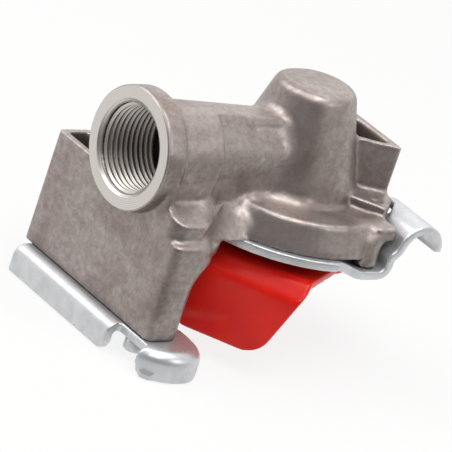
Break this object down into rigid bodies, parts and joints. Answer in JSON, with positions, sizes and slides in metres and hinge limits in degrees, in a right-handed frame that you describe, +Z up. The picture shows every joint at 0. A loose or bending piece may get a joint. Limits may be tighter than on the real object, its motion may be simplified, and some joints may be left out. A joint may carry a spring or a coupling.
{
  "type": "gladhand air brake coupler",
  "caption": "Palm-type air brake coupler head with threaded side port, domed shut-off valve, hook wing, bent claw plate and a sprung swing-away dust cover.",
  "frame": {"origin": "valve axis in the sealing plane, at the underside of the cast head", "axes": "+X out of the threaded port, +Z up the dome, the sealing face looks along -Z"},
  "size_m": [0.0827, 0.062, 0.0652],
  "materials": {
    "cast_alloy": "as cast, shot blasted",
    "zinc_sheet": "zinc plated",
    "red_plastic": "moulded, semi gloss",
    "black_rubber": "moulded, matt",
    "brass": "turned",
    "spring_steel": "drawn wire"
  },
  "bodies": {
    "housing": {"body_casting": "cast_alloy", "guide_plate": "zinc_sheet", "hook_plate": "zinc_sheet", "guide_plate_rivets": "zinc_sheet", "hook_plate_rivets": "zinc_sheet", "cover_pivot_pin": "zinc_sheet", "cover_spring": "spring_steel", "cover_washer": "zinc_sheet", "cover_clip": "spring_steel", "valve_spring": "spring_steel", "valve_seat": "brass", "seat_o_ring": "black_rubber", "seat_circlip": "spring_steel"},
    "cover": {"dust_cover": "red_plastic"},
    "valve": {"seal_ring": "black_rubber", "seal_carrier": "brass", "valve_stem": "brass", "valve_washer": "black_rubber"}
  },
  "joints": [
    {"name": "cover_swing", "type": "hinge", "parent": "housing", "child": "cover", "pos_m": [0.0295, -0.0215, -0.0073], "axis": [0, 0, 1], "range_deg": [0, 95], "stiffness_Nm_per_rad": 0.06, "springref_deg": -28.65, "deforming": ["cover_spring"]},
    {"name": "valve_lift", "type": "slide", "parent": "housing", "child": "valve", "axis": [0, 0, 1], "range_m": [0, 0.002], "stiffness_N_per_m": 4000, "springref_m": -0.004, "deforming": ["valve_spring"]}
  ]
}
